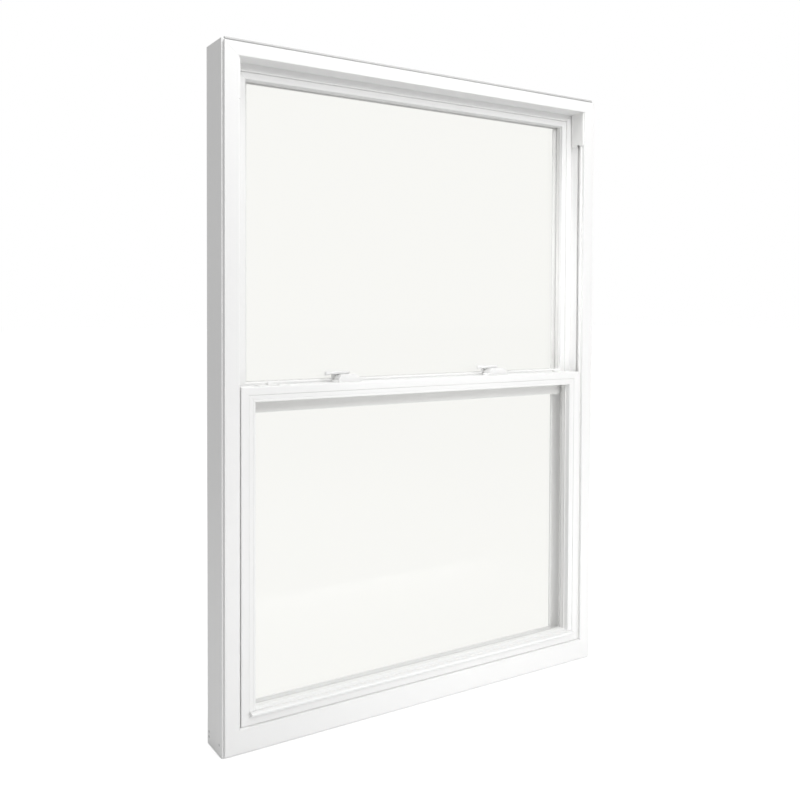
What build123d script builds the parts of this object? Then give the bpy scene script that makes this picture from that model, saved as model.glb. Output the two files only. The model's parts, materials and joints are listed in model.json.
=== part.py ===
# Single hung window of white vinyl: a welded frame with a fixed upper lite, and a lower sash that
# slides up in the jambs. Millimetres, +Z up, X across the opening, +Y towards the outdoors.
# The origin is the middle of the frame's underside.
import os

from build123d import *

os.makedirs("parts", exist_ok=True)

# Frame: overall size, front lip and the width of each face seen from the room
frame_width = 902
frame_height = 1308
frame_depth = 82.5
lip_inset = 4
lip_depth = 6
jamb_face = 28
head_face = 25
sill_face = 45
edge_round = 1.6

# Frame: depths behind the front lip, and how far each step reaches past the inner wall
stop_depth = 44
leg_depth = 68
leg_thick = 5
screen_ledge_depth = 4
pocket_step = 11
bead_reach = 29
jamb_leg_reach = 38
head_leg_reach = 31
sill_leg_reach = 19.5
screen_ledge_reach = 15
outer_reach = 7

# Balance slot in each jamb
slot_lip = 2.5
slot_pocket_width = 18.5
slot_pocket_depth = 18
slot_mouth = 6
slot_centre_depth = 19.5
kerf_width = 2
kerf_cut = 2
kerf_centre_depth = 8.5

# Insulating glass: two panes with a spacer between them
glass_thick = 3
glass_gap = 10
glass_cover = 10
spacer_inset = 3

# Fixed meeting rail and the beads of the upper lite
meeting_rail_bottom = 626
meeting_rail_height = 39
bead_thick = 8
bead_ease = 1
bead_line = 4
bead_line_width = 2
bead_line_cut = 2.5

# Lower sash
side_clearance = 5
seat_gap = 0.3
sash_height = 629.5
sash_setback = 5
sash_thick = 34
sash_face = 29
bottom_face = 27
stile_flat = 15
bottom_flat = 25
sash_bead_depth = 15
sash_bead_draft = 0.5
sash_bead_recess = 0.8
sash_bead_ease = 0.6
sash_edge_gap = 2
sash_round = 2
bead_groove = 1
groove_from_sight = 5

# Lift rail along the bottom rail
lift_reach = 11
lift_thick = 6
lift_round = 2.4
lift_inset = 17

# Sash locks: a foot with a screw at each end, a hump over the cam, and a lever on the hub
lock_spread = 370
lock_length = 66
lock_plate_depth = 19
lock_plate_height = 4
lock_depth = 24
lock_height = 15.5
hump_left_foot = 24
hump_left_rise = 7
hump_left_top = 17
hump_right_top = 13
hump_right_foot = 27
hump_right_rise = 6
hump_round = 4
lock_round = 2
lock_back_gap = 1
hub_from_back = 6
hub_radius = 5
hub_clearance = 0.3
cam_radius = 16
cam_thick = 3
cam_clearance = 1
cam_lift = 7.2
lever_length = 46
lever_hub_radius = 8
lever_tip_radius = 5
lever_thick = 5
lever_ease = 1.5
lever_gap = 0.5
thumb_drop = 2.5
screw_radius = 2
screw_sink_radius = 3.2
screw_spacing = 59

# Keepers on the fixed meeting rail
keeper_length = 44
keeper_height = 11
keeper_floor = 2
keeper_back = 2
keeper_end = 4
keeper_round = 2

# Tilt latches in the top rail
latch_from_edge = 38
latch_length = 60
latch_width = 20
latch_sink = 9
latch_flange = 2
latch_cap = 1.5
bolt_width = 4.4
bolt_height = 6
bolt_reach = 9
bolt_travel = 13
bolt_clearance = 0.3
bolt_roof = 1
button_length = 11
button_width = 12
button_height = 4
button_ease = 1.2

# Sash stops at the top of the balance slots
stop_height = 76
stop_width = 38
stop_centre_depth = 22
stop_thick = 3
stop_notch_width = 8
stop_notch_height = 4
stop_fit = 0.3

# Balances and their shoes
balance_gap = 33
balance_thick = 15
balance_width = 15
balance_wall = 1.5
shoe_height = 30
shoe_above_seat = 4
shoe_clearance = 0.7
pivot_height = 9
pivot_width = 4.4
pivot_above_seat = 6

# Head expander: a channel over the head that closes the gap above it
expander_half = 445
expander_web = 2.5
expander_leg = 1.5
expander_back = 16

# Weep covers on the outdoor face of the sill
weep_spread = 500
weep_length = 36
weep_height = 11
weep_thick = 2.5
weep_from_bottom = 12

# Places worked out from the sizes above
front = -frame_depth / 2
half_width = frame_width / 2
jamb_wall = lip_inset + jamb_face
head_wall = lip_inset + head_face
sill_wall = lip_inset + sill_face
opening_half = half_width - jamb_wall
seat = sill_wall
soffit = frame_height - head_wall
unit_thick = 2 * glass_thick + glass_gap
sash_half = opening_half - side_clearance
sash_bottom = seat + seat_gap
sash_top = sash_bottom + sash_height
sash_glass_depth = sash_setback + sash_bead_depth
pocket_half = opening_half - pocket_step
sight_half = opening_half - bead_reach
bead_width = bead_reach - pocket_step
spacer_width = glass_cover - spacer_inset
pocket_floor = meeting_rail_bottom + meeting_rail_height
pocket_roof = soffit - pocket_step
upper_glass_depth = leg_depth - unit_thick
mitre_reach = jamb_leg_reach + lip_inset


def save(piece, name):
    """Label a finished piece and write it."""
    piece.label = name
    export_step(piece, f"parts/{name}.step")


def member_plane(side, half, bottom, top):
    """Sketch plane of one side of a ring: x runs inwards from the outer edge, y outdoors."""
    if side == "left":
        return Plane(origin=(-half, front, bottom), x_dir=(1, 0, 0), z_dir=(0, 0, 1))
    if side == "bottom":
        return Plane(origin=(half, front, bottom), x_dir=(0, 0, 1), z_dir=(-1, 0, 0))
    return Plane(origin=(-half, front, top), x_dir=(0, 0, -1), z_dir=(1, 0, 0))


def mitre_outline(side, half, bottom, top, walls, legs):
    """Front view of one side of a welded ring, which ends on the lines through its corners.
    legs is how far the legs of the bottom and the top reach past their walls: a longer leg
    on the side ends square against them."""
    wall, low_wall, high_wall = walls

    def corner_line(rise, leg):
        line = [
            (0, 0),
            (lip_inset, lip_inset),
            (wall, rise),
            (wall + leg, rise + leg),
        ]
        if leg < mitre_reach:
            end = leg if side == "left" else mitre_reach
            line.append((wall + mitre_reach, rise + end))
        return line

    low_left = [(-half + x, bottom + z) for x, z in corner_line(low_wall, legs[0])]
    high_left = [(-half + x, top - z) for x, z in corner_line(high_wall, legs[1])]
    if side == "left":
        return low_left + high_left[::-1]
    end = low_left if side == "bottom" else high_left
    return end + [(-x, z) for x, z in end[::-1]]


def ring_member(side, half, bottom, top, walls, outline, rounds=(), legs=(mitre_reach, mitre_reach)):
    """One side of a ring: an outline carried along it and cut on its mitres. rounds has the
    corners of the outline that are rounded, each with its radius."""
    length = top - bottom if side == "left" else 2 * half
    with BuildPart() as member:
        with BuildSketch(member_plane(side, half, bottom, top)) as section:
            with BuildLine():
                Polyline(*outline, close=True)
            make_face()
            for corner, radius in rounds:
                local = section.sketch_local.vertices()
                fillet(local.sort_by_distance(corner)[0], radius)
        extrude(amount=length)
        with BuildSketch(Plane.XZ):
            with BuildLine():
                Polyline(*mitre_outline(side, half, bottom, top, walls, legs), close=True)
            make_face()
        extrude(amount=frame_depth, both=True, mode=Mode.INTERSECT)
    return member.part


def mirrored(piece, name):
    """Write the right-hand twin of a left-hand piece."""
    with BuildPart() as twin:
        mirror(piece, about=Plane.YZ)
    save(twin.part, name)


# Welded frame: one section with four face widths


def frame_member(side, wall, leg_reach):
    """Outline from the room side outdoors: lip, sash wall, glazing pocket, leg, screen ledge."""
    leg_back = leg_depth + leg_thick
    ledge_back = leg_back + screen_ledge_depth
    outline = [
        (lip_inset, 0),
        (wall, 0),
        (wall, stop_depth),
        (wall + pocket_step, stop_depth),
        (wall + pocket_step, leg_depth),
        (wall + leg_reach, leg_depth),
        (wall + leg_reach, leg_back),
        (wall + screen_ledge_reach, leg_back),
        (wall + screen_ledge_reach, ledge_back),
        (wall + outer_reach, ledge_back),
        (wall + outer_reach, frame_depth),
        (0, frame_depth),
        (0, lip_depth),
        (lip_inset, lip_depth),
    ]
    rounds = [
        ((wall, 0), edge_round),
        ((wall + leg_reach, leg_back), edge_round),
        ((wall + outer_reach, frame_depth), edge_round),
    ]
    walls = (jamb_wall, sill_wall, head_wall)
    legs = (sill_leg_reach, head_leg_reach)
    return ring_member(side, half_width, 0, frame_height, walls, outline, rounds, legs)


frame_head = frame_member("top", head_wall, head_leg_reach)
save(frame_head, "frame_head")

frame_sill = frame_member("bottom", sill_wall, sill_leg_reach)
save(frame_sill, "frame_sill")

pocket_centre = -opening_half - slot_lip - slot_pocket_width / 2
with BuildPart() as left_jamb:
    add(frame_member("left", jamb_wall, jamb_leg_reach))
    # balance slot: a wide pocket behind a narrow mouth, and a kerf for the pile beside it
    with BuildSketch(Plane.XY.offset(seat)):
        with Locations((pocket_centre, front + slot_centre_depth)):
            Rectangle(slot_pocket_width, slot_pocket_depth)
        with Locations((-opening_half - slot_lip / 2, front + slot_centre_depth)):
            Rectangle(slot_lip, slot_mouth)
        with Locations((-opening_half - kerf_cut / 2, front + kerf_centre_depth)):
            Rectangle(kerf_cut, kerf_width)
    extrude(amount=soffit - seat, mode=Mode.SUBTRACT)
save(left_jamb.part, "left_jamb")
mirrored(left_jamb.part, "right_jamb")

# Fixed meeting rail: it ends against the jambs' pocket walls, and its outdoor leg between theirs
outdoors = Plane(origin=(0, front, 0), x_dir=(0, 0, 1), z_dir=(-1, 0, 0))
with BuildPart() as meeting_rail:
    with BuildSketch(outdoors):
        with Locations((meeting_rail_bottom, stop_depth)):
            Rectangle(meeting_rail_height, leg_depth - stop_depth, align=Align.MIN)
    extrude(amount=pocket_half, both=True)
    with BuildSketch(outdoors):
        with Locations((meeting_rail_bottom, leg_depth)):
            Rectangle(meeting_rail_height + bead_width, leg_thick, align=Align.MIN)
    extrude(amount=opening_half - jamb_leg_reach, both=True)
save(meeting_rail.part, "meeting_rail")

# Upper lite: beads, two panes and their spacer


def upper_bead(side):
    """A square bead with a fine channel near its outer edge, and eased at the sight line."""
    depth = upper_glass_depth - bead_thick
    line_end = bead_line + bead_line_width
    outline = [
        (0, depth),
        (bead_line, depth),
        (bead_line, depth + bead_line_cut),
        (line_end, depth + bead_line_cut),
        (line_end, depth),
        (bead_width - bead_ease, depth),
        (bead_width, depth + bead_ease),
        (bead_width, upper_glass_depth),
        (0, upper_glass_depth),
    ]
    walls = (bead_width, bead_width, bead_width)
    return ring_member(side, pocket_half, pocket_floor, pocket_roof, walls, outline)


save(upper_bead("top"), "upper_bead_top")
save(upper_bead("bottom"), "upper_bead_bottom")
left_upper_bead = upper_bead("left")
save(left_upper_bead, "upper_bead_left")
mirrored(left_upper_bead, "upper_bead_right")


def glass_unit(name, half, bottom, top, depth):
    """Two panes and the spacer between them, starting at a depth behind the front lip."""
    middle = (bottom + top) / 2
    height = top - bottom
    inner_face = front + depth
    spacer_face = inner_face + glass_thick
    for pane, face in (("inner", inner_face), ("outer", spacer_face + glass_gap)):
        with BuildPart() as sheet:
            with BuildSketch(Plane.XZ.offset(-face)):
                with Locations((0, middle)):
                    Rectangle(2 * half, height)
            extrude(amount=-glass_thick)
        save(sheet.part, f"{name}_{pane}_pane")
    with BuildPart() as spacer:
        with BuildSketch(Plane.XZ.offset(-spacer_face)):
            with Locations((0, middle)):
                Rectangle(2 * (half - spacer_inset), height - 2 * spacer_inset)
                inner = spacer_inset + spacer_width
                Rectangle(2 * (half - inner), height - 2 * inner, mode=Mode.SUBTRACT)
        extrude(amount=-glass_gap)
    save(spacer.part, f"{name}_spacer")


glass_edge = bead_width - glass_cover
glass_unit(
    "upper",
    pocket_half - glass_edge,
    pocket_floor + glass_edge,
    pocket_roof - glass_edge,
    upper_glass_depth,
)

# Lower sash: welded stiles and rails, with snap-in beads on the room side


sash_walls = (sash_face, bottom_face, sash_face)


def sash_member(side, flat, face):
    """Outline: face flat, bead seat, rabbet for the glass and the outdoor leg."""
    back = sash_setback + sash_thick
    unit_back = sash_glass_depth + unit_thick
    rabbet = face - glass_cover - sash_edge_gap
    outline = [
        (0, sash_setback),
        (flat, sash_setback),
        (flat, sash_glass_depth),
        (rabbet, sash_glass_depth),
        (rabbet, unit_back),
        (face, unit_back),
        (face, back),
        (0, back),
    ]
    rounds = [((0, sash_setback), sash_round), ((face, back), sash_round)]
    return ring_member(side, sash_half, sash_bottom, sash_top, sash_walls, outline, rounds)


def sash_bead(side, flat, face):
    """Outline: a flat with an eased edge and, where it is wide enough, a fine groove. The
    return runs straight back to the glass."""
    room_face = sash_setback + sash_bead_recess
    brow = face - sash_bead_draft
    groove = face - groove_from_sight
    outline = [(flat, room_face)]
    if groove > flat + 2 * bead_groove:
        outline = [
            (flat, room_face + bead_groove),
            (flat + bead_groove, room_face),
            (groove - bead_groove / 2, room_face),
            (groove, room_face + bead_groove),
            (groove + bead_groove / 2, room_face),
        ]
    outline += [(brow, room_face), (face, sash_glass_depth), (flat, sash_glass_depth)]
    rounds = [((brow, room_face), sash_bead_ease)]
    return ring_member(side, sash_half, sash_bottom, sash_top, sash_walls, outline, rounds)


latch_line = front + slot_centre_depth
latch_outer = -sash_half + latch_from_edge
latch_middle = latch_outer + latch_length / 2
bolt_way_width = bolt_width + 2 * bolt_clearance
bolt_way_height = bolt_height + 2 * bolt_clearance
bolt_way_top = sash_top - bolt_roof
bolt_way_floor = bolt_way_top - bolt_way_height

with BuildPart() as latch_room:
    # the hollow that a latch needs in the left end of the top rail
    with BuildSketch(Plane.XY.offset(sash_top)):
        with Locations((latch_middle, latch_line)):
            Rectangle(latch_length, latch_width)
    extrude(amount=-latch_sink)
    with BuildSketch(Plane.XY.offset(bolt_way_floor)):
        with Locations((-sash_half, latch_line)):
            Rectangle(latch_from_edge, bolt_way_width, align=(Align.MIN, Align.CENTER))
    extrude(amount=bolt_way_height)

with BuildPart() as sash_top_rail:
    add(sash_member("top", stile_flat, sash_face))
    add(latch_room.part, mode=Mode.SUBTRACT)
    mirror(latch_room.part, about=Plane.YZ, mode=Mode.SUBTRACT)
save(sash_top_rail.part, "sash_top_rail")

with BuildPart() as sash_left_stile:
    add(sash_member("left", stile_flat, sash_face))
    add(latch_room.part, mode=Mode.SUBTRACT)
save(sash_left_stile.part, "sash_left_stile")
mirrored(sash_left_stile.part, "sash_right_stile")

lift_half = sash_half - lift_inset
with BuildPart() as sash_bottom_rail:
    add(sash_member("bottom", bottom_flat, bottom_face))
    # lift rail: a ledge for the fingers at the top of the flat
    with BuildSketch(Plane(origin=(0, front, sash_bottom), x_dir=(0, 0, 1), z_dir=(-1, 0, 0))) as ledge:
        with Locations((bottom_flat, sash_setback)):
            Rectangle(lift_thick, lift_reach, align=Align.MAX)
        fillet(ledge.sketch_local.vertices().group_by(Axis.Y)[0], lift_round)
    extrude(amount=lift_half, both=True)
save(sash_bottom_rail.part, "sash_bottom_rail")

save(sash_bead("top", stile_flat, sash_face), "sash_bead_top")
save(sash_bead("bottom", bottom_flat, bottom_face), "sash_bead_bottom")
left_sash_bead = sash_bead("left", stile_flat, sash_face)
save(left_sash_bead, "sash_bead_left")
mirrored(left_sash_bead, "sash_bead_right")

glass_unit(
    "lower",
    sash_half - sash_face + glass_cover,
    sash_bottom + bottom_face - glass_cover,
    sash_top - sash_face + glass_cover,
    sash_glass_depth,
)

# Sash locks: the base has a chamber for the cam, and the lever carries the cam
lock_back = front + sash_setback + sash_thick - lock_back_gap
hub_line = lock_back - hub_from_back
lock_line = lock_back - lock_depth / 2
chamber_floor = cam_lift - cam_clearance
chamber_height = cam_thick + 2 * cam_clearance
lever_floor = sash_top + lock_height + lever_gap
keeper_seat = pocket_floor + bead_width

for side, lock_x in (("left", -lock_spread / 2), ("right", lock_spread / 2)):
    with BuildPart() as lock_base:
        with BuildSketch(Plane.XY.offset(sash_top)):
            with Locations((lock_x, lock_line)):
                SlotOverall(lock_length, lock_plate_depth)
        extrude(amount=lock_plate_height)
        # hump: highest around the hub, with a slope down to each end
        with BuildSketch(Plane.XZ.offset(-lock_back)) as hump:
            with BuildLine():
                Polyline(
                    (lock_x - hump_left_foot, sash_top),
                    (lock_x - hump_left_foot, sash_top + hump_left_rise),
                    (lock_x - hump_left_top, sash_top + lock_height),
                    (lock_x + hump_right_top, sash_top + lock_height),
                    (lock_x + hump_right_foot, sash_top + hump_right_rise),
                    (lock_x + hump_right_foot, sash_top),
                    close=True,
                )
            make_face()
            fillet(hump.sketch_local.vertices().group_by(Axis.Y)[-1], hump_round)
        extrude(amount=lock_depth)
        brow = lock_base.faces().sort_by(Axis.Y)[0].edges()
        fillet(brow.filter_by(lambda edge: edge.center().Z > sash_top + 1), lock_round)
        with BuildSketch(Plane.XY.offset(sash_top + chamber_floor)):
            with Locations((lock_x, hub_line)):
                Circle(cam_radius + cam_clearance)
        extrude(amount=chamber_height, mode=Mode.SUBTRACT)
        with BuildSketch(Plane.XY.offset(sash_top + chamber_floor)):
            with Locations((lock_x, hub_line)):
                Circle(hub_radius + hub_clearance)
        extrude(amount=lock_height, mode=Mode.SUBTRACT)
        with Locations(Plane.XY.offset(sash_top + lock_plate_height)):
            with Locations((lock_x, lock_line)):
                with GridLocations(screw_spacing, 1, 2, 1):
                    CounterSinkHole(screw_radius, screw_sink_radius, depth=lock_plate_height)
    save(lock_base.part, f"{side}_lock_base")

    with BuildPart() as lock_lever:
        # cam: half a disc, turned towards the room while the sash is unlocked
        with BuildSketch(Plane.XY.offset(sash_top + cam_lift)):
            with Locations((lock_x, hub_line)):
                Circle(cam_radius)
                Rectangle(2 * cam_radius, cam_radius, align=(Align.CENTER, Align.MIN), mode=Mode.SUBTRACT)
                Circle(hub_radius)
        extrude(amount=cam_thick)
        with BuildSketch(Plane.XY.offset(sash_top + cam_lift)):
            with Locations((lock_x, hub_line)):
                Circle(hub_radius)
        extrude(amount=lock_height + lever_gap - cam_lift)
        with BuildSketch(Plane.XY.offset(lever_floor)):
            with Locations((lock_x, hub_line)):
                Circle(lever_hub_radius)
            with Locations((lock_x - lever_length + lever_tip_radius, hub_line)):
                Circle(lever_tip_radius)
            make_hull()
        extrude(amount=lever_thick)
        chamfer(lock_lever.faces().sort_by(Axis.Z)[-1].edges(), lever_ease)
        # thumb end: it hangs a little below the rest of the lever
        with BuildSketch(Plane.XY.offset(lever_floor)):
            with Locations((lock_x - lever_length + lever_tip_radius, hub_line)):
                Circle(lever_tip_radius)
        extrude(amount=-thumb_drop)
    save(lock_lever.part, f"{side}_lock_lever")

    with BuildPart() as keeper:
        with BuildSketch(Plane.XY.offset(keeper_seat)):
            with Locations((lock_x, front + stop_depth)):
                Rectangle(keeper_length, bead_thick, align=(Align.CENTER, Align.MIN))
        extrude(amount=keeper_height)
        fillet(keeper.edges().filter_by(Axis.X).group_by(Axis.Z)[-1].sort_by(Axis.Y)[0], keeper_round)
        with BuildSketch(Plane.XY.offset(keeper_seat + keeper_floor)):
            with Locations((lock_x, front + stop_depth)):
                hollow = (keeper_length - 2 * keeper_end, bead_thick - keeper_back)
                Rectangle(*hollow, align=(Align.CENTER, Align.MIN))
        extrude(amount=keeper_height - 2 * keeper_floor - 1, mode=Mode.SUBTRACT)
    save(keeper.part, f"{side}_keeper")

# Tilt latches: a housing let into the top rail, and a slider whose bolt reaches into the slot
button_outer = latch_outer + (latch_length - button_length - bolt_travel) / 2
with BuildPart() as left_latch:
    with BuildSketch(Plane.XY.offset(sash_top)):
        with Locations((latch_middle, latch_line)):
            Rectangle(latch_length, latch_width)
    extrude(amount=-latch_sink)
    with BuildSketch(Plane.XY.offset(sash_top)):
        with Locations((latch_middle, latch_line)):
            RectangleRounded(latch_length + 2 * latch_flange, latch_width + 2 * latch_flange, latch_flange)
    extrude(amount=latch_cap)
    with BuildSketch(Plane.XY.offset(bolt_way_floor)):
        with Locations((latch_outer, latch_line)):
            way_length = latch_length - latch_flange
            Rectangle(way_length, bolt_way_width, align=(Align.MIN, Align.CENTER))
    extrude(amount=bolt_way_height, mode=Mode.SUBTRACT)
    with BuildSketch(Plane.XY.offset(bolt_way_floor)):
        with Locations((button_outer - bolt_clearance, latch_line)):
            window = button_length + bolt_travel + 2 * bolt_clearance
            Rectangle(window, button_width + 2 * bolt_clearance, align=(Align.MIN, Align.CENTER))
    extrude(amount=latch_sink + latch_cap, mode=Mode.SUBTRACT)
save(left_latch.part, "left_latch")
mirrored(left_latch.part, "right_latch")

bolt_end = latch_outer + latch_length - latch_flange - bolt_travel - bolt_clearance
with BuildPart() as left_latch_slider:
    with BuildSketch(Plane.XY.offset(bolt_way_floor + bolt_clearance)):
        with Locations((-sash_half - bolt_reach, latch_line)):
            bolt_length = bolt_end + sash_half + bolt_reach
            Rectangle(bolt_length, bolt_width, align=(Align.MIN, Align.CENTER))
    extrude(amount=bolt_height)
    with BuildSketch(Plane.XY.offset(bolt_way_floor + bolt_clearance)):
        with Locations((button_outer, latch_line)):
            Rectangle(button_length, button_width, align=(Align.MIN, Align.CENTER))
    extrude(amount=sash_top + latch_cap + button_height - bolt_way_floor - bolt_clearance)
    chamfer(left_latch_slider.faces().sort_by(Axis.Z)[-1].edges(), button_ease)
save(left_latch_slider.part, "left_latch_slider")
mirrored(left_latch_slider.part, "right_latch_slider")

# Sash stops: covers over the top of the balance slots, each with a tongue in the slot's mouth
with BuildPart() as left_sash_stop:
    with BuildSketch(Plane.XY.offset(soffit)):
        with Locations((-opening_half, front + stop_centre_depth)):
            Rectangle(stop_thick, stop_width, align=(Align.MIN, Align.CENTER))
        with Locations((-opening_half, front + slot_centre_depth)):
            Rectangle(slot_lip, slot_mouth - 2 * stop_fit, align=(Align.MAX, Align.CENTER))
    extrude(amount=-stop_height)
    with BuildSketch(Plane.YZ.offset(-opening_half - slot_lip)):
        with Locations((front + slot_centre_depth, soffit - stop_height)):
            Rectangle(stop_notch_width, stop_notch_height, align=(Align.CENTER, Align.MIN))
    extrude(amount=slot_lip + stop_thick, mode=Mode.SUBTRACT)
save(left_sash_stop.part, "left_sash_stop")
mirrored(left_sash_stop.part, "right_sash_stop")

# Balances: a channel on the back wall of each slot, above the reach of the shoe
slot_back = -opening_half - slot_lip - slot_pocket_width
sash_travel = soffit - stop_height - side_clearance - sash_top
shoe_bottom = seat + shoe_above_seat
balance_bottom = shoe_bottom + shoe_height + sash_travel + balance_gap
balance_top = soffit - stop_height
with BuildPart() as left_balance:
    with BuildSketch(Plane.XY.offset(balance_bottom)):
        with Locations((slot_back, front + slot_centre_depth)):
            Rectangle(balance_thick, balance_width, align=(Align.MIN, Align.CENTER))
            hollow = (balance_thick - balance_wall, balance_width - 2 * balance_wall)
            Rectangle(*hollow, align=(Align.MIN, Align.CENTER), mode=Mode.SUBTRACT)
    extrude(amount=balance_top - balance_bottom)
save(left_balance.part, "left_balance")
mirrored(left_balance.part, "right_balance")

# Balance shoes: a block that runs in the slot, with the pivot bar that carries the sash
with BuildPart() as left_balance_shoe:
    with BuildSketch(Plane.XY.offset(shoe_bottom)):
        with Locations((slot_back + slot_pocket_width / 2, front + slot_centre_depth)):
            shoe = (slot_pocket_width - 2 * shoe_clearance, slot_pocket_depth - 2 * shoe_clearance)
            Rectangle(*shoe)
    extrude(amount=shoe_height)
    with BuildSketch(Plane.XY.offset(seat + pivot_above_seat)):
        with Locations((-sash_half, front + slot_centre_depth)):
            bar_length = side_clearance + slot_lip + slot_pocket_width / 2
            Rectangle(bar_length, pivot_width, align=(Align.MAX, Align.CENTER))
    extrude(amount=pivot_height)
save(left_balance_shoe.part, "left_balance_shoe")
mirrored(left_balance_shoe.part, "right_balance_shoe")

# Head expander: it sits on the lip's top and over the head
expander_top = frame_height + expander_web
with BuildPart() as head_expander:
    with BuildSketch(Plane.YZ):
        with BuildLine():
            Polyline(
                (front + lip_depth - expander_leg, frame_height - lip_inset),
                (front + lip_depth - expander_leg, expander_top),
                (front + frame_depth + expander_leg, expander_top),
                (front + frame_depth + expander_leg, expander_top - expander_back),
                (front + frame_depth, expander_top - expander_back),
                (front + frame_depth, frame_height),
                (front + lip_depth, frame_height),
                (front + lip_depth, frame_height - lip_inset),
                close=True,
            )
        make_face()
    extrude(amount=expander_half, both=True)
save(head_expander.part, "head_expander")

# Weep covers: small hoods over the drain slots, closed at the top
with BuildPart() as left_weep_cover:
    with BuildSketch(Plane.YZ.offset(-weep_spread / 2 - weep_length / 2)):
        with BuildLine():
            Polyline(
                (front + frame_depth, weep_from_bottom),
                (front + frame_depth + weep_thick, weep_from_bottom),
                (front + frame_depth + weep_thick, weep_from_bottom + weep_height - weep_thick),
                (front + frame_depth, weep_from_bottom + weep_height),
                close=True,
            )
        make_face()
    extrude(amount=weep_length)
save(left_weep_cover.part, "left_weep_cover")
mirrored(left_weep_cover.part, "right_weep_cover")

print(f"sash travel {sash_travel:.1f} mm, sash top at {sash_top:.1f} mm")
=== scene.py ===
import json
import math

import bmesh
import bpy
import numpy as np
from mathutils import Matrix, Vector


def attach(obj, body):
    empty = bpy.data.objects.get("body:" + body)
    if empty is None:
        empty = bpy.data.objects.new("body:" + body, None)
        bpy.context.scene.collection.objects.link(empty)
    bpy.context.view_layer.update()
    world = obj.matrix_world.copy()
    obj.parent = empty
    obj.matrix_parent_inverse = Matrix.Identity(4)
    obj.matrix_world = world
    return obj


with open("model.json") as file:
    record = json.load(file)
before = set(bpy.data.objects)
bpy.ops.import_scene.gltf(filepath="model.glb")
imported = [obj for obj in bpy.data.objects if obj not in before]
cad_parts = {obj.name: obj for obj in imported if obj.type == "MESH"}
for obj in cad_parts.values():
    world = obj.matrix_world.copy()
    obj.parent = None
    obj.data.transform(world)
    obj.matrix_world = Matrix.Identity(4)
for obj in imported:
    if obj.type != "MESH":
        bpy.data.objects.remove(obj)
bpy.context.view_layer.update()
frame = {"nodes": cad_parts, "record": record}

nodes = frame["nodes"]
print("frame loaded,", len(nodes), "nodes")

# Camera: fitted to the corners of the front lip and the back left edge
shot = {
    "place": (-1.0308, -1.6064, 0.8281),   # metres
    "yaw": 33.47,                          # degrees from +Y towards +X
    "pitch": 1.52,                         # degrees downwards
    "roll": -0.30,
    "focalPixels": 905.2,
    "imagePixels": 800,
    "centrePixel": (433.4, 330.3),         # where the lens axis meets the picture
    "sensor": 36.0,                        # millimetres
}


def addCamera(spec):
    yaw, pitch, roll = (math.radians(spec[key]) for key in ("yaw", "pitch", "roll"))
    level = Vector((math.cos(yaw), -math.sin(yaw), 0))
    ahead = Vector((math.sin(yaw) * math.cos(pitch), math.cos(yaw) * math.cos(pitch), -math.sin(pitch)))
    down = ahead.cross(level)
    right = math.cos(roll) * level + math.sin(roll) * down
    up = math.sin(roll) * level - math.cos(roll) * down
    lens = bpy.data.cameras.new("camera")
    lens.sensor_width = spec["sensor"]
    lens.lens = spec["focalPixels"] / spec["imagePixels"] * spec["sensor"]
    middle = (spec["imagePixels"] - 1) / 2
    lens.shift_x = (middle - spec["centrePixel"][0]) / spec["imagePixels"]
    lens.shift_y = (spec["centrePixel"][1] - middle) / spec["imagePixels"]
    eye = bpy.data.objects.new("camera", lens)
    turn = Matrix((right, up, -ahead)).transposed().to_4x4()
    eye.matrix_world = Matrix.Translation(spec["place"]) @ turn
    bpy.context.scene.collection.objects.link(eye)
    bpy.context.scene.camera = eye


addCamera(shot)
print("camera set")

# Studio: a white room, whose walls and floor the lens sees brighter than they light the window
studio = {
    "ambient": 0.57,                          # strength of the walls as a light
    "seenLevel": 1.0,                         # strength of the walls in the lens and through the panes
    "seen": (1.0, 1.0, 1.0, 1),
    "seenThrough": (0.962, 0.962, 0.935, 1),  # what the panes show behind them
    "floorColour": (0.70, 0.70, 0.70, 1),
    "floorRoughness": 0.9,
    "floorSpecular": 0.1,
    "floorGlow": 0.61,                        # added to the floor where the lens sees it bare
    "floorHalf": 30.0,
}
softboxes = [
    {"name": "riseBox", "place": (-0.1, -0.5, 2.3), "aim": (0.1, 0.0, 0.9), "power": 7.5,
     "wide": 0.5, "tall": 0.5, "spread": 180, "mirrored": True},
    {"name": "highBox", "place": (0.1, -1.6, 2.2), "aim": (0.1, 0.0, 0.9), "power": 6.5,
     "wide": 0.6, "tall": 0.6, "spread": 180, "mirrored": True},
    {"name": "browBox", "place": (0.3, -2.4, 1.86), "aim": (0.1, 0.0, 0.8), "power": 14.5,
     "wide": 0.35, "tall": 0.35, "spread": 180, "mirrored": False},
    {"name": "lowBox", "place": (0.26, -0.85, 0.13), "aim": (0.26, 0.0, 0.25), "power": 2.2,
     "wide": 0.9, "tall": 0.2, "spread": 180, "mirrored": False},
    # along the opening, onto the right jamb's inner wall
    {"name": "stripBox", "place": (-0.43, -0.13, 0.86), "aim": (0.42, 0.0, 0.88), "power": 0.14,
     "wide": 0.04, "tall": 0.3, "spread": 44, "mirrored": False},
    {"name": "backBox", "place": (0.3, 1.6, 1.6), "aim": (0.0, 0.0, 0.7), "power": 13.0,
     "wide": 1.6, "tall": 1.6, "spread": 180, "mirrored": False},
]


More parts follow.
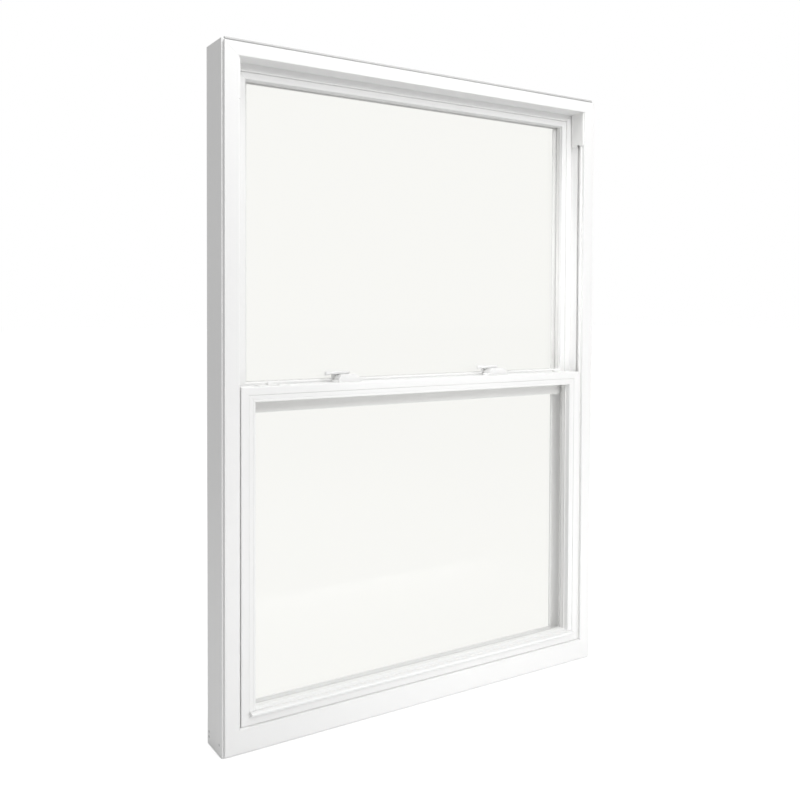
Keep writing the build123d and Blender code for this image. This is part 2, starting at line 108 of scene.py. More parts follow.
def addWalls(spec):
    world = bpy.data.worlds.new("studioWalls")
    world.use_nodes = True
    tree = world.node_tree
    walls = tree.nodes["Background"]
    path = tree.nodes.new("ShaderNodeLightPath")
    hue = tree.nodes.new("ShaderNodeMix")
    hue.data_type = "RGBA"
    hue.inputs["A"].default_value = spec["seen"]
    hue.inputs["B"].default_value = spec["seenThrough"]
    tree.links.new(path.outputs["Is Transmission Ray"], hue.inputs["Factor"])
    tree.links.new(hue.outputs["Result"], walls.inputs["Color"])
    seen = tree.nodes.new("ShaderNodeMath")
    seen.operation = "MAXIMUM"
    tree.links.new(path.outputs["Is Camera Ray"], seen.inputs[0])
    tree.links.new(path.outputs["Is Transmission Ray"], seen.inputs[1])
    level = tree.nodes.new("ShaderNodeMapRange")
    level.inputs["To Min"].default_value = spec["ambient"]
    level.inputs["To Max"].default_value = spec["seenLevel"]
    tree.links.new(seen.outputs[0], level.inputs["Value"])
    tree.links.new(level.outputs["Result"], walls.inputs["Strength"])
    bpy.context.scene.world = world


def addFloor(spec):
    half = spec["floorHalf"]
    corners = [(-half, -half, 0), (half, -half, 0), (half, half, 0), (-half, half, 0)]
    sheet = bpy.data.meshes.new("studioFloor")
    sheet.from_pydata(corners, [], [(0, 1, 2, 3)])
    floor = bpy.data.objects.new("studioFloor", sheet)
    bpy.context.scene.collection.objects.link(floor)
    paint = bpy.data.materials.new("studioFloor")
    paint.use_nodes = True
    tree = paint.node_tree
    shader = tree.nodes["Principled BSDF"]
    shader.inputs["Base Color"].default_value = spec["floorColour"]
    shader.inputs["Roughness"].default_value = spec["floorRoughness"]
    shader.inputs["Specular IOR Level"].default_value = spec["floorSpecular"]
    shader.inputs["Emission Color"].default_value = (1, 1, 1, 1)
    path = tree.nodes.new("ShaderNodeLightPath")
    glow = tree.nodes.new("ShaderNodeMath")
    glow.operation = "MULTIPLY"
    glow.inputs[1].default_value = spec["floorGlow"]
    tree.links.new(path.outputs["Is Camera Ray"], glow.inputs[0])
    tree.links.new(glow.outputs[0], shader.inputs["Emission Strength"])
    even = tree.nodes.new("ShaderNodeEmission")      # through glass the floor is as white as the walls
    even.inputs["Color"].default_value = spec["seenThrough"]
    blend = tree.nodes.new("ShaderNodeMixShader")
    tree.links.new(path.outputs["Is Transmission Ray"], blend.inputs["Fac"])
    tree.links.new(shader.outputs["BSDF"], blend.inputs[1])
    tree.links.new(even.outputs["Emission"], blend.inputs[2])
    tree.links.new(blend.outputs["Shader"], tree.nodes["Material Output"].inputs["Surface"])
    sheet.materials.append(paint)


def addSoftbox(spec):
    lamp = bpy.data.lights.new(spec["name"], "AREA")
    lamp.shape = "RECTANGLE"
    lamp.size = spec["wide"]
    lamp.size_y = spec["tall"]
    lamp.spread = math.radians(spec["spread"])
    lamp.energy = spec["power"]
    box = bpy.data.objects.new(spec["name"], lamp)
    box.location = spec["place"]
    ahead = Vector(spec["aim"]) - Vector(spec["place"])
    box.rotation_euler = ahead.to_track_quat("-Z", "Y").to_euler()
    box.visible_camera = False
    box.visible_transmission = False
    box.visible_glossy = spec["mirrored"]            # the others would show in the panes
    bpy.context.scene.collection.objects.link(box)


bpy.context.scene.view_settings.view_transform = "Standard"
addWalls(studio)
addFloor(studio)
for softbox in softboxes:
    addSoftbox(softbox)
print("studio lit")


# Shader groups
def addSocket(group, name, direction, kind, value=None):
    socket = group.interface.new_socket(name=name, in_out=direction, socket_type=kind)
    if value is not None:
        socket.default_value = value


def mathNode(tree, operation, first, second, third=None):
    step = tree.nodes.new("ShaderNodeMath")
    step.operation = operation
    for place, value in enumerate((first, second, third)):
        if isinstance(value, (int, float)):
            step.inputs[place].default_value = value
        elif value is not None:
            tree.links.new(value, step.inputs[place])
    return step.outputs[0]


# Fine unevenness: broad cloudy shade, fine gloss swing and a fine height, all on Object coordinates
unevenness = {"name": "fineUnevenness", "broadScale": 3.5, "broadDetail": 3, "fineDetail": 4}


def makeUnevenness(spec):
    group = bpy.data.node_groups.new(spec["name"], "ShaderNodeTree")
    addSocket(group, "Tint", "INPUT", "NodeSocketColor", (0.9, 0.9, 0.9, 1))
    addSocket(group, "Shade", "INPUT", "NodeSocketFloat", 0.02)
    addSocket(group, "Gloss", "INPUT", "NodeSocketFloat", 0.4)
    addSocket(group, "Gloss Swing", "INPUT", "NodeSocketFloat", 0.06)
    addSocket(group, "Scale", "INPUT", "NodeSocketFloat", 60.0)
    addSocket(group, "Color", "OUTPUT", "NodeSocketColor")
    addSocket(group, "Roughness", "OUTPUT", "NodeSocketFloat")
    addSocket(group, "Height", "OUTPUT", "NodeSocketFloat")
    source = group.nodes.new("NodeGroupInput")
    result = group.nodes.new("NodeGroupOutput")
    place = group.nodes.new("ShaderNodeTexCoord")
    broad = group.nodes.new("ShaderNodeTexNoise")
    broad.inputs["Scale"].default_value = spec["broadScale"]
    broad.inputs["Detail"].default_value = spec["broadDetail"]
    fine = group.nodes.new("ShaderNodeTexNoise")
    fine.inputs["Detail"].default_value = spec["fineDetail"]
    group.links.new(place.outputs["Object"], broad.inputs["Vector"])
    group.links.new(place.outputs["Object"], fine.inputs["Vector"])
    group.links.new(source.outputs["Scale"], fine.inputs["Scale"])
    minus = mathNode(group, "MULTIPLY", source.outputs["Shade"], -1.0)
    away = mathNode(group, "MULTIPLY_ADD", broad.outputs["Fac"], minus, 1.0)     # 1 - shade * broad noise
    tone = group.nodes.new("ShaderNodeVectorMath")
    tone.operation = "SCALE"
    group.links.new(source.outputs["Tint"], tone.inputs[0])
    group.links.new(away, tone.inputs["Scale"])
    group.links.new(tone.outputs["Vector"], result.inputs["Color"])
    swing = mathNode(group, "MULTIPLY_ADD", fine.outputs["Fac"],
                     source.outputs["Gloss Swing"], source.outputs["Gloss"])
    group.links.new(swing, result.inputs["Roughness"])
    group.links.new(fine.outputs["Fac"], result.inputs["Height"])
    return group


# Draw lines: noise stretched along one way, the faint lines that a die leaves along a section
drawLines = {"name": "drawLines", "detail": 2}


def makeDrawLines(spec):
    group = bpy.data.node_groups.new(spec["name"], "ShaderNodeTree")
    addSocket(group, "Stretch", "INPUT", "NodeSocketVector", (400.0, 400.0, 3.0))
    addSocket(group, "Height", "OUTPUT", "NodeSocketFloat")
    source = group.nodes.new("NodeGroupInput")
    result = group.nodes.new("NodeGroupOutput")
    place = group.nodes.new("ShaderNodeTexCoord")
    pull = group.nodes.new("ShaderNodeVectorMath")
    pull.operation = "MULTIPLY"
    group.links.new(place.outputs["Object"], pull.inputs[0])
    group.links.new(source.outputs["Stretch"], pull.inputs[1])
    lines = group.nodes.new("ShaderNodeTexNoise")
    lines.inputs["Scale"].default_value = 1.0
    lines.inputs["Detail"].default_value = spec["detail"]
    group.links.new(pull.outputs["Vector"], lines.inputs["Vector"])
    group.links.new(lines.outputs["Fac"], result.inputs["Height"])
    return group


unevenGroup = makeUnevenness(unevenness)
lineGroup = makeDrawLines(drawLines)
print("shader groups ready")


# Finishes: colour, gloss and height from the groups, each finish with its own values
def finishMaterial(name, spec):
    paint = bpy.data.materials.new(name)
    paint.use_nodes = True
    tree = paint.node_tree
    shader = tree.nodes["Principled BSDF"]
    shader.inputs["Metallic"].default_value = spec.get("metal", 0.0)
    shader.inputs["Specular IOR Level"].default_value = spec.get("specular", 0.5)
    uneven = tree.nodes.new("ShaderNodeGroup")
    uneven.node_tree = unevenGroup
    uneven.inputs["Tint"].default_value = (*spec["tint"], 1)
    uneven.inputs["Shade"].default_value = spec["shade"]
    uneven.inputs["Gloss"].default_value = spec["gloss"]
    uneven.inputs["Gloss Swing"].default_value = spec["glossSwing"]
    uneven.inputs["Scale"].default_value = spec["scale"]
    tree.links.new(uneven.outputs["Color"], shader.inputs["Base Color"])
    tree.links.new(uneven.outputs["Roughness"], shader.inputs["Roughness"])
    height = uneven.outputs["Height"]
    if "stretch" in spec:
        lines = tree.nodes.new("ShaderNodeGroup")
        lines.node_tree = lineGroup
        lines.inputs["Stretch"].default_value = spec["stretch"]
        height = mathNode(tree, "MULTIPLY_ADD", lines.outputs["Height"], spec["lineShare"], height)
    bump = tree.nodes.new("ShaderNodeBump")
    bump.inputs["Strength"].default_value = spec["bump"]
    bump.inputs["Distance"].default_value = spec["bumpDepth"]
    tree.links.new(height, bump.inputs["Height"])
    tree.links.new(bump.outputs["Normal"], shader.inputs["Normal"])
    return paint


drawnUp = (520.0, 520.0, 2.5)          # die lines along Z
drawnAcross = (2.5, 520.0, 520.0)      # die lines along X
vinylFinish = {"tint": (0.90, 0.90, 0.895), "shade": 0.015, "gloss": 0.34, "glossSwing": 0.08,
               "scale": 900.0, "bump": 0.10, "bumpDepth": 0.0002, "lineShare": 1.5}
uprightVinyl = finishMaterial("uprightVinyl", {**vinylFinish, "stretch": drawnUp})
levelVinyl = finishMaterial("levelVinyl", {**vinylFinish, "stretch": drawnAcross})
nylonFinish = {"tint": (0.89, 0.89, 0.88), "shade": 0.02, "gloss": 0.46, "glossSwing": 0.1,
               "scale": 1600.0, "bump": 0.2, "bumpDepth": 0.0002}
whiteNylon = finishMaterial("whiteNylon", nylonFinish)
lockFinish = {"tint": (0.84, 0.84, 0.835), "shade": 0.01, "gloss": 0.28, "glossSwing": 0.06,
              "scale": 700.0, "bump": 0.1, "bumpDepth": 0.0002}
lockPaint = finishMaterial("lockPaint", lockFinish)
shoeFinish = {"tint": (0.50, 0.50, 0.49), "shade": 0.05, "gloss": 0.5, "glossSwing": 0.1,
              "scale": 1600.0, "bump": 0.2, "bumpDepth": 0.0002}
shoeNylon = finishMaterial("shoeNylon", shoeFinish)
channelFinish = {"tint": (0.62, 0.63, 0.64), "shade": 0.25, "gloss": 0.34, "glossSwing": 0.16,
                 "scale": 260.0, "bump": 0.1, "bumpDepth": 0.0002, "metal": 1.0}
channelSteel = finishMaterial("channelSteel", channelFinish)
spacerFinish = {"tint": (0.92, 0.92, 0.91), "shade": 0.03, "gloss": 0.55, "glossSwing": 0.1,
                "scale": 900.0, "bump": 0.1, "bumpDepth": 0.0002}
spacerBar = finishMaterial("spacerBar", spacerFinish)
tuftsUp = (120.0, 120.0, 2600.0)       # tufts side by side along Z
tuftsAcross = (2600.0, 120.0, 120.0)   # tufts side by side along X
pileFinish = {"tint": (0.90, 0.90, 0.89), "shade": 0.05, "gloss": 0.9, "glossSwing": 0.08, "specular": 0.2,
              "scale": 700.0, "bump": 0.45, "bumpDepth": 0.0004, "lineShare": 1.0}
uprightPile = finishMaterial("uprightPile", {**pileFinish, "stretch": tuftsUp})
levelPile = finishMaterial("levelPile", {**pileFinish, "stretch": tuftsAcross})
gasketFinish = {"tint": (0.88, 0.88, 0.87), "shade": 0.04, "gloss": 0.6, "glossSwing": 0.1,
                "scale": 1200.0, "bump": 0.15, "bumpDepth": 0.0002}
softGasket = finishMaterial("softGasket", gasketFinish)
sealFinish = {"tint": (0.76, 0.76, 0.75), "shade": 0.06, "gloss": 0.55, "glossSwing": 0.15,
              "scale": 900.0, "bump": 0.3, "bumpDepth": 0.0002}
edgeSeal = finishMaterial("edgeSeal", sealFinish)
# painted shade: the tape's dark grey stands in for the shadow line in the joint between the head's lip and
# its expander
tapePaintedShadeFinish = {"tint": (0.38, 0.38, 0.38), "shade": 0.15, "gloss": 0.8, "glossSwing": 0.1,
              "scale": 1400.0, "bump": 0.5, "bumpDepth": 0.0003}
foamTapePaintedShade = finishMaterial("foamTapePaintedShade", tapePaintedShadeFinish)
# painted shade: the expander's white vinyl is tinted grey for the shade it sits in behind the lip's top edge
expanderPaintedShadeFinish = {**vinylFinish, "tint": (0.62, 0.62, 0.615), "stretch": drawnAcross}
expanderPaintedShadeVinyl = finishMaterial("expanderPaintedShadeVinyl", expanderPaintedShadeFinish)

# Glass: clear for light on its way to other surfaces, so that it casts no dark shadow
paneGlass = {"tint": (0.994, 0.994, 0.992, 1), "roughness": 0.0, "index": 1.45}


def makeGlass(spec):
    paint = bpy.data.materials.new("clearGlass")
    paint.use_nodes = True
    tree = paint.node_tree
    shader = tree.nodes["Principled BSDF"]
    shader.inputs["Base Color"].default_value = spec["tint"]
    shader.inputs["Roughness"].default_value = spec["roughness"]
    shader.inputs["IOR"].default_value = spec["index"]
    shader.inputs["Transmission Weight"].default_value = 1.0
    through = tree.nodes.new("ShaderNodeBsdfTransparent")
    through.inputs["Color"].default_value = spec["tint"]
    path = tree.nodes.new("ShaderNodeLightPath")
    either = mathNode(tree, "MAXIMUM", path.outputs["Is Shadow Ray"], path.outputs["Is Diffuse Ray"])
    blend = tree.nodes.new("ShaderNodeMixShader")
    tree.links.new(either, blend.inputs["Fac"])
    tree.links.new(shader.outputs["BSDF"], blend.inputs[1])
    tree.links.new(through.outputs["BSDF"], blend.inputs[2])
    tree.links.new(blend.outputs["Shader"], tree.nodes["Material Output"].inputs["Surface"])
    return paint


clearGlass = makeGlass(paneGlass)

# Each node of the frame gets the finish of its slot, and vinyl runs along its own member
slotPaint = {
    "clear_glass": clearGlass,
    "spacer": spacerBar,
    "white_lock": lockPaint,
    "white_nylon": whiteNylon,
    "galvanized": channelSteel,
    "grey_nylon": shoeNylon,
}
softEdge = {"vinyl": 0.0005, "other": 0.0003, "join": 0.00001, "angle": 32.0, "steps": 2, "flatWeight": 90}


def paintNode(name, slot):
    upright = name.startswith(("left_", "right_")) or name.endswith(("_left", "_right", "_stile"))
    vinyl = uprightVinyl if upright else levelVinyl
    paint = slotPaint.get(slot, vinyl)
    if name == "head_expander":
        paint = expanderPaintedShadeVinyl          # painted shade: a grey tint for the shade behind the lip's top edge, showing as a grey line above the head
    mesh = nodes[name].data
    mesh.materials.clear()
    mesh.materials.append(paint)


def softenNode(name, slot, spec):
    if slot in ("clear_glass", "spacer"):
        return
    node = nodes[name]
    node.data.shade_smooth()
    join = node.modifiers.new("join", "WELD")
    join.merge_threshold = spec["join"]
    ease = node.modifiers.new("ease", "BEVEL")
    ease.width = spec["vinyl"] if slot == "white_vinyl" else spec["other"]
    ease.segments = spec["steps"]
    ease.limit_method = "ANGLE"
    ease.angle_limit = math.radians(spec["angle"])
    ease.use_clamp_overlap = False
    lay = node.modifiers.new("lay", "WEIGHTED_NORMAL")     # broad faces stay flat up to their eased edges
    lay.mode = "FACE_AREA"
    lay.weight = spec["flatWeight"]


for entry in frame["record"]["subparts"]:
    paintNode(entry["node"], entry["material_slot"])
    softenNode(entry["node"], entry["material_slot"], softEdge)
print("finishes on every node")

# Places on the window, in metres: depth is counted from the front of the lip
lipFront = -0.04125
sashTop = 0.6788
sides = (("left", -1), ("right", 1))


def gridMesh(name, grids, loopRows=False, merge=1e-7):
    # each grid is rows x columns x 3 points; columns close on themselves, and doubles at poles merge
    spots, quads, offset = [], [], 0
    for points in grids:
        rows, cols = points.shape[:2]
        index = np.arange(rows * cols).reshape(rows, cols) + offset
        index = np.hstack((index, index[:, :1]))
        if loopRows:
            index = np.vstack((index, index[:1]))
        ring = (index[:-1, :-1], index[:-1, 1:], index[1:, 1:], index[1:, :-1])
        quads.append(np.stack(ring, axis=-1).reshape(-1, 4))
        spots.append(points.reshape(-1, 3))
        offset += rows * cols
    mesh = bpy.data.meshes.new(name)
    mesh.from_pydata(np.concatenate(spots).tolist(), [], np.concatenate(quads).tolist())
    work = bmesh.new()
    work.from_mesh(mesh)
    bmesh.ops.remove_doubles(work, verts=work.verts, dist=merge)
    bmesh.ops.recalc_face_normals(work, faces=work.faces)
    work.to_mesh(mesh)
    work.free()
    return mesh


def addPiece(name, mesh, paint, body, sharp=40.0):
    mesh.materials.append(paint)
    mesh.shade_smooth()
    mesh.set_sharp_from_angle(angle=math.radians(sharp))
    piece = bpy.data.objects.new(name, mesh)
    bpy.context.scene.collection.objects.link(piece)
    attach(piece, body)


def capEnds(points):
    # the first and the last row shrink to their middles, which closes both ends
    first = np.repeat(points[:1].mean(axis=1, keepdims=True), points.shape[1], axis=1)
    last = np.repeat(points[-1:].mean(axis=1, keepdims=True), points.shape[1], axis=1)
    return np.concatenate((first, points, last))


def ripple(run, pitch, turn):
    # sum of four sines whose pitches share no measure, between about -1 and 1
    share = np.array([1.0, 0.71, 0.43, 0.29])[:, None]
    phase = np.array([0.3, 1.9, 4.1, 2.6])[:, None] + turn
    return (np.sin(2 * np.pi * run[None, :] / (pitch * share) + phase) * share).sum(axis=0) / share.sum()


# Pile strips: a tuft carried along its kerf, wider towards the tip, whose tip wavers along the run
pileShape = {"points": 8, "roundShare": 0.2, "endWidth": 0.02, "flare": 1.5, "leanPitch": 1.7, "sharp": 70.0}
jambPile = {"depth": 0.0085, "wall": 0.419, "low": 0.0495, "high": 1.2025, "root": 0.0018, "reach": 0.0041,
            "rootHalf": 0.0008, "tipHalf": 0.0014, "waver": 0.0004, "lean": 0.0003,
            "pitch": 0.023, "leftTurn": 0.0, "rightTurn": 2.2, "rows": 420}
railPile = {"depth": 0.044, "height": 0.658, "half": 0.404, "root": 0.0, "reach": 0.0041,
            "rootHalf": 0.0013, "tipHalf": 0.0022, "waver": 0.0003, "lean": 0.0004,
            "pitch": 0.021, "turn": 0.9, "rows": 320}


def pileSection(spec, run, turn):
    # out: from the root in the kerf to the rounded tip; across: half width grows along the tuft
    count, roundShare = pileShape["points"], pileShape["roundShare"]
    share = np.concatenate((np.linspace(0, 1, count), np.linspace(1, 0, count)))
    side = np.concatenate((np.ones(count), -np.ones(count)))
    near = np.clip((share - (1 - roundShare)) / roundShare, 0, 1)
    rounding = np.sqrt(np.clip(1 - near ** 2, pileShape["endWidth"], 1))
    widening = (spec["tipHalf"] - spec["rootHalf"]) * share ** pileShape["flare"]
    across = side * (spec["rootHalf"] + widening) * rounding
    out = -spec["root"] + share * (spec["root"] + spec["reach"])
    tip = (np.clip(out, 0, None) / spec["reach"])[None, :]
    waver = np.abs(ripple(run, spec["pitch"], turn))[:, None] * spec["waver"]
    lean = ripple(run, spec["pitch"] * pileShape["leanPitch"], turn + 1)[:, None] * spec["lean"]
    return out[None, :] - waver * tip, across[None, :] + lean * tip


def addJambPile(name, way, spec):
    run = np.linspace(spec["low"], spec["high"], spec["rows"])
    outs, acrosses = pileSection(spec, run, spec["leftTurn"] if way < 0 else spec["rightTurn"])
    x = way * (spec["wall"] - outs)
    y = lipFront + spec["depth"] + acrosses
    z = np.repeat(run[:, None], outs.shape[1], axis=1)
    mesh = gridMesh(name, [capEnds(np.stack((x, y, z), axis=-1))])
    addPiece(name, mesh, uprightPile, "frame", pileShape["sharp"])


def addRailPile(name, spec):
    run = np.linspace(-spec["half"], spec["half"], spec["rows"])
    outs, acrosses = pileSection(spec, run, spec["turn"])
    x = np.repeat(run[:, None], outs.shape[1], axis=1)
    y = lipFront + spec["depth"] - outs
    z = spec["height"] + acrosses
    mesh = gridMesh(name, [capEnds(np.stack((x, y, z), axis=-1))])
    addPiece(name, mesh, levelPile, "frame", pileShape["sharp"])


for sideName, way in sides:
    addJambPile(sideName + "JambPile", way, jambPile)
addRailPile("meetingRailPile", railPile)
print("pile strips laid")

# Balance covers: a thin strip, bowed across its width, carried up in front of each balance behind the slot
balanceCover = {"front": 0.4234, "thick": 0.0007, "depth": 0.0195, "half": 0.0074, "backInset": 0.0002,
                "low": 0.640, "high": 1.2025, "bow": 0.00015, "rows": 60, "cols": 13}


def addBalanceCover(name, way, spec):
    # the front face bows by a cosine across its width; the back follows it at the sheet's thickness
    run = np.linspace(spec["low"], spec["high"], spec["rows"])
    across = np.linspace(-1, 1, spec["cols"])
    face = spec["front"] + spec["bow"] * (1 - np.cos(np.pi * across)) / 2
    front = np.stack((face, across * spec["half"]), axis=-1)
    back = np.stack((face + spec["thick"], across * (spec["half"] - spec["backInset"])), axis=-1)
    outline = np.concatenate((front, back[::-1]))
    x = way * np.repeat(outline[None, :, 0], spec["rows"], axis=0)
    y = lipFront + spec["depth"] + np.repeat(outline[None, :, 1], spec["rows"], axis=0)
    z = np.repeat(run[:, None], outline.shape[0], axis=1)
    mesh = gridMesh(name, [capEnds(np.stack((x, y, z), axis=-1))])
    addPiece(name, mesh, whiteNylon, "frame")


for sideName, way in sides:
    addBalanceCover(sideName + "BalanceCover", way, balanceCover)

# Foam tape in the joint between the head's lip and its expander, painted dark grey as painted shade: the
# shadow line along the joint
headTape = {"half": 0.4445, "height": 1.3062, "depth": 0.0045, "radius": 0.0013, "flatness": 0.6,
            "swell": 0.08, "pitch": 0.05, "turn": 0.4, "rows": 200, "cols": 12}


def addHeadTape(name, spec):
    # an oval carried along the joint, whose size swells and shrinks a little along the run
    run = np.linspace(-spec["half"], spec["half"], spec["rows"])
    angle = np.linspace(0, 2 * np.pi, spec["cols"], endpoint=False)[None, :]
    size = spec["radius"] * (1 + spec["swell"] * ripple(run, spec["pitch"], spec["turn"]))[:, None]
    x = np.repeat(run[:, None], spec["cols"], axis=1)
    y = lipFront + spec["depth"] + size * np.cos(angle) * spec["flatness"]
    z = spec["height"] + size * np.sin(angle)
    mesh = gridMesh(name, [capEnds(np.stack((x, y, z), axis=-1))])
    addPiece(name, mesh, foamTapePaintedShade, "frame")


addHeadTape("headTape", headTape)
print("covers and tape fitted")

# Rings of soft lip and sealant around each pane: a small section carried round the four corners.
# A section's points, in millimetres, are inward from the sight line and away from the pane's face
ringKinds = {
    "lip": {"paint": softGasket, "slot": "white_nylon",
            "section": [(-0.3, -0.05), (-0.3, 2.3), (0.2, 2.2), (0.75, 1.5), (1.25, 0.6), (1.4, -0.05)]},
    "seal": {"paint": edgeSeal, "slot": "grey_nylon",
             "section": [(-0.4, -0.05), (-0.4, 1.2), (0.2, 1.15), (0.5, 0.75), (0.55, 0.3), (0.45, -0.05)]},
}
upperSight = {"half": 0.390, "low": 0.683, "high": 1.250, "body": "frame"}
lowerSight = {"half": 0.385, "low": 0.0763, "high": 0.6498, "body": "sash"}
paneRings = [
    {**upperSight, "name": "upperRoomLip", "kind": "lip", "depth": 0.052, "way": -1},
    {**upperSight, "name": "upperOutdoorLip", "kind": "lip", "depth": 0.068, "way": 1,
     "half": 0.381, "high": 1.248},              # the outdoor leg reaches further in at the jambs and head
    {**upperSight, "name": "upperRoomSeal", "kind": "seal", "depth": 0.055, "way": 1},
    {**upperSight, "name": "upperOutdoorSeal", "kind": "seal", "depth": 0.065, "way": -1},
    {**lowerSight, "name": "lowerRoomLip", "kind": "lip", "depth": 0.020, "way": -1},
    {**lowerSight, "name": "lowerOutdoorLip", "kind": "lip", "depth": 0.036, "way": 1},
    {**lowerSight, "name": "lowerRoomSeal", "kind": "seal", "depth": 0.023, "way": 1},
    {**lowerSight, "name": "lowerOutdoorSeal", "kind": "seal", "depth": 0.033, "way": -1},
]


def addPaneRing(spec, kind):
    section = np.array(kind["section"]) * 0.001
    inward, rise = section[None, :, 0], section[None, :, 1]
    across = np.array([-1, 1, 1, -1])[:, None]
    upper = np.array([0, 0, 1, 1])[:, None]
    x = across * (spec["half"] - inward)
    y = lipFront + spec["depth"] + spec["way"] * rise + 0 * x
    z = np.where(upper > 0, spec["high"] - inward, spec["low"] + inward)
    mesh = gridMesh(spec["name"], [np.stack((x, y, z), axis=-1)], loopRows=True)
    addPiece(spec["name"], mesh, kind["paint"], spec["body"])


for ring in paneRings:
    addPaneRing(ring, ringKinds[ring["kind"]])
print("pane rings set")

# Screw heads: height over radius and angle, a shallow dome less a cross recess that fades at its ends
lockScrew = {"radius": 0.0031, "dome": 0.0005, "skirt": 0.0012, "slotHalf": 0.00042, "slotReach": 0.0020,
             "slotDepth": 0.0008, "endFade": 0.35, "brim": 1.3, "flank": 0.6,
             "rows": 18, "cols": 56, "sharp": 50.0}
frameScrew = {**lockScrew, "radius": 0.0026, "dome": 0.0007, "skirt": 0.0004}


def screwHead(spec, turn):
    # columns run round the axis, rows from the middle out and then under; in the head's own frame
    angle = np.linspace(0, 2 * np.pi, spec["cols"], endpoint=False)[None, :]
    radius = (np.linspace(0, 1, spec["rows"]) * spec["radius"])[:, None]
    u, v = radius * np.cos(angle - turn), radius * np.sin(angle - turn)
    reach = np.clip((spec["slotReach"] - radius) / (spec["endFade"] * spec["slotReach"]), 0, 1)
    arm = np.minimum(np.abs(u), np.abs(v))
    inside = np.clip((spec["slotHalf"] * spec["brim"] - arm) / (spec["flank"] * spec["slotHalf"]), 0, 1)
    height = spec["dome"] * (1 - (radius / spec["radius"]) ** 2) - spec["slotDepth"] * reach * inside
    top = np.stack((radius * np.cos(angle), radius * np.sin(angle), height), axis=-1)
    under = top[-1:] * np.array([1, 1, 0]) - np.array([0, 0, spec["skirt"]])
    pole = under * np.array([0, 0, 1])
    return np.concatenate((top, under, pole))


lockOut = 0.185                        # each lock's hub from the middle
lockScrewPlace = {"offset": 0.0295, "y": -0.01525, "seat": 0.0038, "ends": ((-1, 0.4), (1, 1.1))}
for sideName, way in sides:
    hub = np.array([way * lockOut, lockScrewPlace["y"], sashTop + lockScrewPlace["seat"]])
    heads = [screwHead(lockScrew, turn) + hub + np.array([end * lockScrewPlace["offset"], 0, 0])
             for end, turn in lockScrewPlace["ends"]]
    name = sideName + "LockScrews"
    addPiece(name, gridMesh(name, heads), lockPaint, "sash", lockScrew["sharp"])

# Fixing screws low on each outer side of the frame
sideScrewPlace = {"face": 0.451, "turnStep": 0.5,
                  "spots": ((0.0322, 0.0251), (0.0322, 0.0156), (-0.0211, 0.0211))}      # y and z
for sideName, way in sides:
    heads = []
    for place, (y, z) in enumerate(sideScrewPlace["spots"]):
        head = screwHead(frameScrew, sideScrewPlace["turnStep"] * place)
        x = way * (sideScrewPlace["face"] + head[..., 2])
        heads.append(np.stack((x, y + head[..., 0], z + head[..., 1]), axis=-1))
    name = sideName + "SideScrews"
    addPiece(name, gridMesh(name, heads), channelSteel, "frame", frameScrew["sharp"])
print("screws driven")

# Grip ribs: a low pad whose height swings as a cosine along its length
latchRibs = {"out": 0.3525, "shift": 0.0, "y": -0.02175, "z": 0.6843, "length": 0.0082, "half": 0.0044,
             "pitch": 0.0019, "rise": 0.00045, "base": 0.00012, "edge": 0.0005,
             "endLift": 0.1, "shoulder": 0.3, "sink": 0.0004, "rows": 64}
leverRibs = {**latchRibs, "out": lockOut, "shift": -0.0385, "y": -0.00925, "z": 0.6998, "length": 0.0088,
             "half": 0.0024, "pitch": 0.0017, "rise": 0.00040, "base": 0.00010, "edge": 0.0004}


def ribPad(spec, way):
    run = np.linspace(-0.5, 0.5, spec["rows"]) * spec["length"]
    height = spec["base"] + spec["rise"] * (0.5 + 0.5 * np.cos(2 * np.pi * run / spec["pitch"]))
    fromEnd = 0.5 * spec["length"] - np.abs(run)
    height = (height * np.clip(fromEnd / spec["edge"], spec["endLift"], 1))[:, None]
    wide, flat, shoulder = spec["half"], spec["half"] - spec["edge"], spec["shoulder"]
    across = np.array([-wide, -wide, -flat, 0, flat, wide, wide])[None, :]
    lift = np.array([0, shoulder, 1, 1, 1, shoulder, 0])[None, :]
    z = np.where(lift > 0, height * lift, -spec["sink"])
    x = np.repeat(run[:, None], across.shape[1], axis=1)
    centre = np.array([way * spec["out"] + spec["shift"], spec["y"], spec["z"]])
    return capEnds(np.stack((x, across + 0 * z, z), axis=-1) + centre)


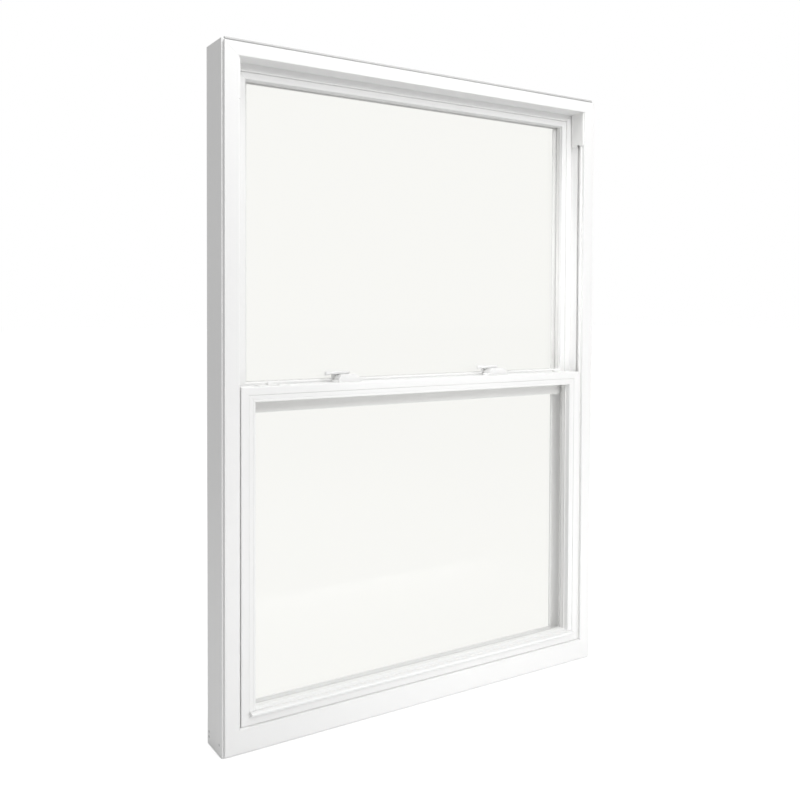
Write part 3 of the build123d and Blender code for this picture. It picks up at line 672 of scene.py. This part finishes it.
for sideName, way in sides:
    name = sideName + "LatchRibs"
    addPiece(name, gridMesh(name, [ribPad(latchRibs, way)]), whiteNylon, sideName + "_latch_bolt")
    name = sideName + "LeverRibs"
    addPiece(name, gridMesh(name, [ribPad(leverRibs, way)]), lockPaint, sideName + "_lock")
print("grips ribbed")

# Weld seams: a flat half round carried along each mitre of the room face, a little uneven in width.
# A line runs from one x and z to another, and is mirrored to the left
frameSeams = {"depth": 0.0, "half": 0.0011, "rise": 0.00012, "sink": 0.0002, "uneven": 0.18, "pitch": 0.22,
              "rows": 40, "cols": 9,
              "lines": [((0.4462, 0.0052), (0.4205, 0.0466)), ((0.4462, 1.3028), (0.4205, 1.2804))]}
sashSeams = {**frameSeams, "depth": 0.005, "half": 0.0008, "rise": 0.00010, "rows": 24,
             "lines": [((0.4112, 0.0519), (0.3992, 0.0632)), ((0.4112, 0.6760), (0.3992, 0.6640))]}


def seamGrid(spec, line, way, turn):
    share = np.linspace(0, 1, spec["rows"])
    start, end = np.array(line[0]), np.array(line[1])
    along = (end - start) / np.linalg.norm(end - start)
    across = np.array([-along[1], along[0]])
    width = spec["half"] * (1 + spec["uneven"] * ripple(share, spec["pitch"], turn))[:, None]
    angle = np.linspace(0, np.pi, spec["cols"])[None, :]
    middle = start[None, :] + share[:, None] * (end - start)[None, :]
    x = middle[:, :1] + across[0] * width * np.cos(angle)
    z = middle[:, 1:] + across[1] * width * np.cos(angle)
    rise = spec["rise"] * np.sin(angle) + 0 * x
    over = np.stack((x, rise, z), axis=-1)
    under = np.stack((x[:, ::-1], rise * 0 - spec["sink"], z[:, ::-1]), axis=-1)
    points = capEnds(np.concatenate((over, under), axis=1))
    y = lipFront + spec["depth"] - points[..., 1]
    return np.stack((way * points[..., 0], y, points[..., 2]), axis=-1)


def addSeams(name, body, spec):
    places = [(way, line) for way in (-1, 1) for line in spec["lines"]]
    grids = [seamGrid(spec, line, way, turn) for turn, (way, line) in enumerate(places)]
    addPiece(name, gridMesh(name, grids), levelVinyl, body)


addSeams("frameWeldSeams", "frame", frameSeams)
addSeams("sashWeldSeams", "sash", sashSeams)
print("weld seams dressed")
